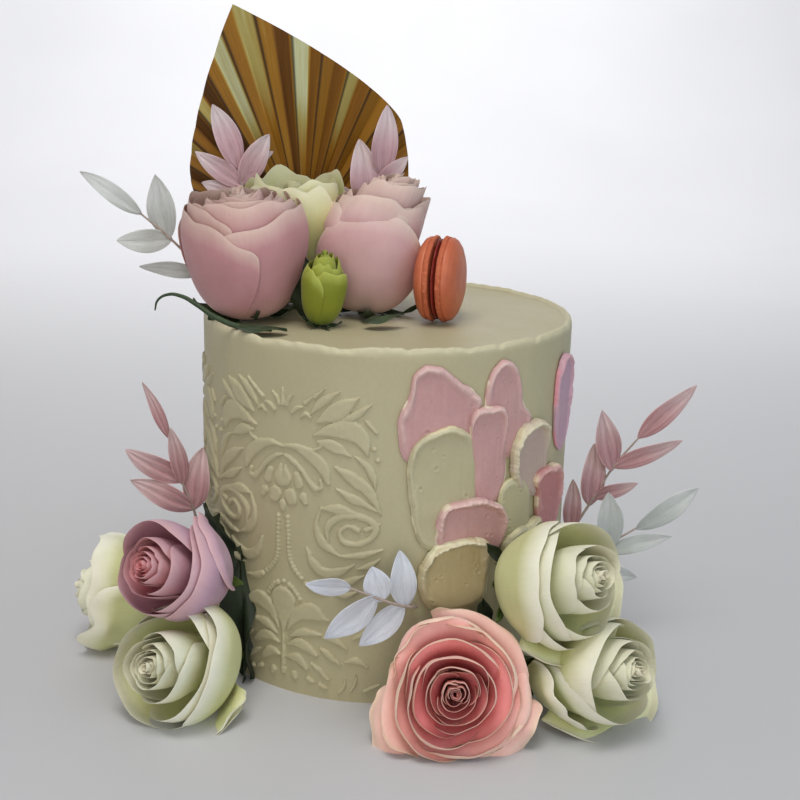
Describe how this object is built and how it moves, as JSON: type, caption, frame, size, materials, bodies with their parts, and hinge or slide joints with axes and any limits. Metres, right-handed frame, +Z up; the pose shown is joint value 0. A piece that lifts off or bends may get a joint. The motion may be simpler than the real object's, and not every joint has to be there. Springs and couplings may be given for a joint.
{
  "type": "decorated celebration cake",
  "caption": "Tall round one-tier buttercream cake with knife-stroke icing, roses, dried foliage sprigs, a pleated palm spear and a macaron.",
  "frame": {"origin": "centre of the cake's base, on the plane that it stands on", "axes": "+Z up, -Y towards the decorated front, +X to the right as seen from the front"},
  "size_m": [0.3471, 0.2752, 0.3491],
  "materials": {
    "cream_buttercream": "soft sheen buttercream",
    "pink_buttercream": "soft sheen buttercream",
    "blush_petal": "matt petal",
    "pink_petal": "matt petal",
    "green_white_petal": "matt petal",
    "bud_green": "matt petal",
    "dark_green_leaf": "matt leaf",
    "dried_palm": "dry leaf with a slight sheen",
    "pink_foliage": "matt painted leaf",
    "white_foliage": "matt painted leaf",
    "coral_shell": "smooth baked meringue",
    "red_filling": "soft filling"
  },
  "bodies": {
    "root": {"cake_body": "cream_buttercream", "stroke_pink_left": "pink_buttercream", "stroke_pink_middle": "pink_buttercream", "stroke_pink_right": "pink_buttercream", "stroke_pink_centre": "pink_buttercream", "stroke_pink_edge": "pink_buttercream", "stroke_pink_low": "pink_buttercream", "stroke_cream_left": "cream_buttercream", "stroke_cream_right": "cream_buttercream", "stroke_cream_small": "cream_buttercream", "stroke_cream_edge": "cream_buttercream", "stroke_cream_low": "cream_buttercream", "rose_top_left": "blush_petal", "rose_top_right": "blush_petal", "rose_top_back": "green_white_petal", "bud_top": "bud_green", "rose_left_pink": "pink_petal", "rose_left_white": "green_white_petal", "rose_left_back": "green_white_petal", "rose_front_pink": "pink_petal", "rose_right_upper": "green_white_petal", "rose_right_lower": "green_white_petal", "macaron_shell_left": "coral_shell", "macaron_shell_right": "coral_shell", "macaron_filling": "red_filling", "palm_spear": "dried_palm", "sprig_top_white": "white_foliage", "sprig_top_pink_left": "pink_foliage", "sprig_top_pink_right": "pink_foliage", "sprig_left_pink": "pink_foliage", "sprig_front_white": "white_foliage", "sprig_right_pink": "pink_foliage", "sprig_right_white": "white_foliage", "sepal_curled": "dark_green_leaf", "leaf_top_left": "dark_green_leaf", "leaf_top_right": "dark_green_leaf"}
  },
  "joints": []
}
